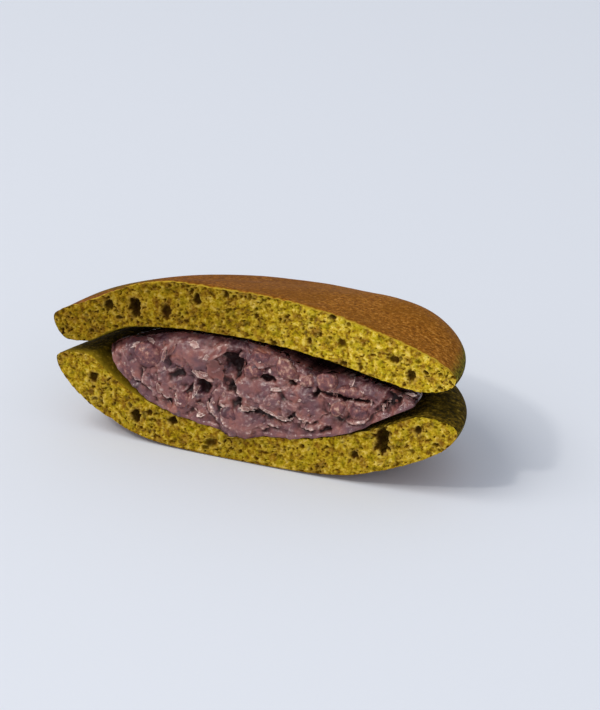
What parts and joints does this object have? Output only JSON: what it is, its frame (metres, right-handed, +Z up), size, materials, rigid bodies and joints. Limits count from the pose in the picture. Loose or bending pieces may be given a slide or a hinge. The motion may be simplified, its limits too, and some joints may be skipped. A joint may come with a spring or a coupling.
{
  "type": "halved dorayaki",
  "caption": "Half of a filled pancake sandwich cut straight through: domed green-yellow sponge above and below with a browned crust, and lumpy sweet red bean paste showing in the middle.",
  "frame": {"origin": "centre of the bounding box's footprint, on the surface that the half lies on", "axes": "+X along the length of the cut, +Z up; the cut face looks along -Y and the uncut round back is towards +Y"},
  "size_m": [0.0938, 0.0454, 0.0372],
  "materials": {
    "green_sponge": "matte, porous green-yellow crumb under a satin brown baked crust",
    "bean_paste": "moist, mauve-brown, lumpy with wet highlights"
  },
  "bodies": {
    "root": {"upper_pancake": "green_sponge", "bean_filling": "bean_paste", "lower_pancake": "green_sponge"}
  },
  "joints": []
}
